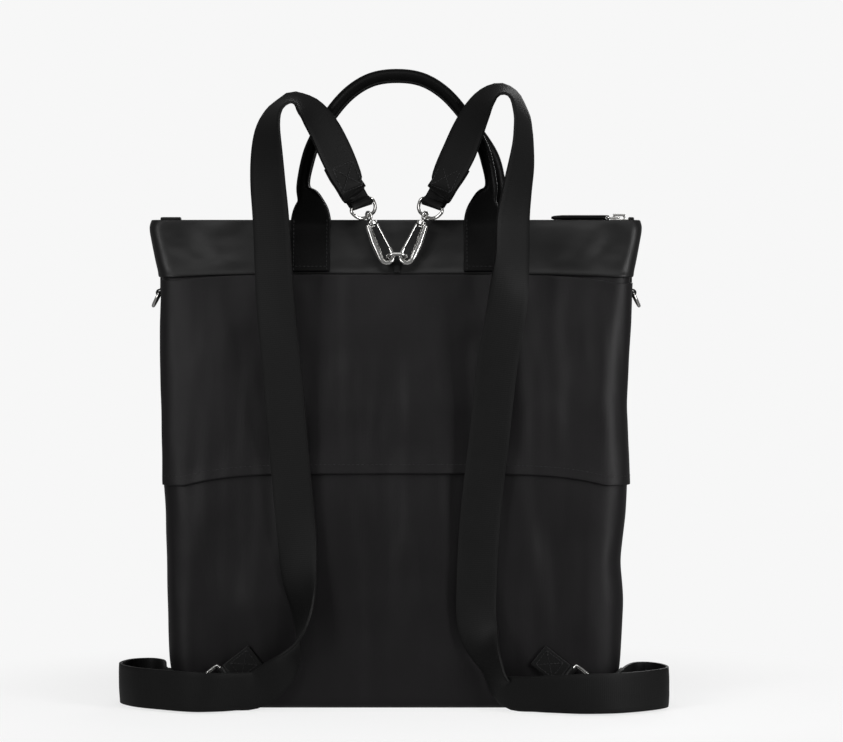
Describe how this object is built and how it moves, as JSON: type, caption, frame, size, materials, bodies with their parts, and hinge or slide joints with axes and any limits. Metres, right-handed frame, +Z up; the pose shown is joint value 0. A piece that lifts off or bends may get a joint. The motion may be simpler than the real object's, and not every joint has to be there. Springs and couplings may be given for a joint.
{
  "type": "convertible backpack",
  "caption": "Soft flat-based zip-top backpack with rolled carrying handles and webbing shoulder straps that run from base rings to snap hooks on a ring at the top of the back.",
  "frame": {"origin": "middle of the bag's base on the floor, on the middle plane between front and back", "axes": "+Z up; -Y towards the back with the shoulder straps; +X to the right when one looks at that back"},
  "size_m": [0.401, 0.1611, 0.4645],
  "materials": {
    "body_cloth": "soft sheen",
    "band_cloth": "satin",
    "strap_cloth": "woven, low sheen",
    "leather": "smooth, satin",
    "zip_tape": "matte",
    "nickel": "polished nickel"
  },
  "bodies": {
    "backpack": {"body_shell": "body_cloth", "top_band": "band_cloth", "back_sleeve": "body_cloth", "centre_ring_tab": "band_cloth", "zip_end_left": "band_cloth", "zip_end_right": "band_cloth", "zip_tape_back": "zip_tape", "zip_tape_front": "zip_tape", "zip_chain": "zip_tape", "zip_slider": "nickel", "zip_link": "nickel", "zip_pull": "leather", "handle_back": "leather", "handle_front": "leather", "centre_ring": "nickel", "side_ring_left": "nickel", "side_ring_tab_left": "band_cloth", "base_ring_left": "nickel", "base_ring_tab_left": "band_cloth", "hook_eye_left": "nickel", "hook_body_left": "nickel", "strap_ring_left": "nickel", "strap_left": "strap_cloth", "side_ring_right": "nickel", "side_ring_tab_right": "band_cloth", "base_ring_right": "nickel", "base_ring_tab_right": "band_cloth", "hook_eye_right": "nickel", "hook_body_right": "nickel", "strap_ring_right": "nickel", "strap_right": "strap_cloth"},
    "gate_left": {"hook_gate_left": "nickel"},
    "gate_right": {"hook_gate_right": "nickel"}
  },
  "joints": [
    {"name": "hook_gate_left", "type": "hinge", "parent": "backpack", "child": "gate_left", "pos_m": [-0.01421, -0.02754, 0.3515], "axis": [-0.0736, 0.9656, -0.2492], "range_deg": [0, 15], "stiffness_Nm_per_rad": 0.01, "springref_deg": -8.59},
    {"name": "hook_gate_right", "type": "hinge", "parent": "backpack", "child": "gate_right", "pos_m": [0.01421, -0.02754, 0.3515], "axis": [-0.0736, -0.9656, 0.2492], "range_deg": [0, 15], "stiffness_Nm_per_rad": 0.01, "springref_deg": -8.59}
  ]
}
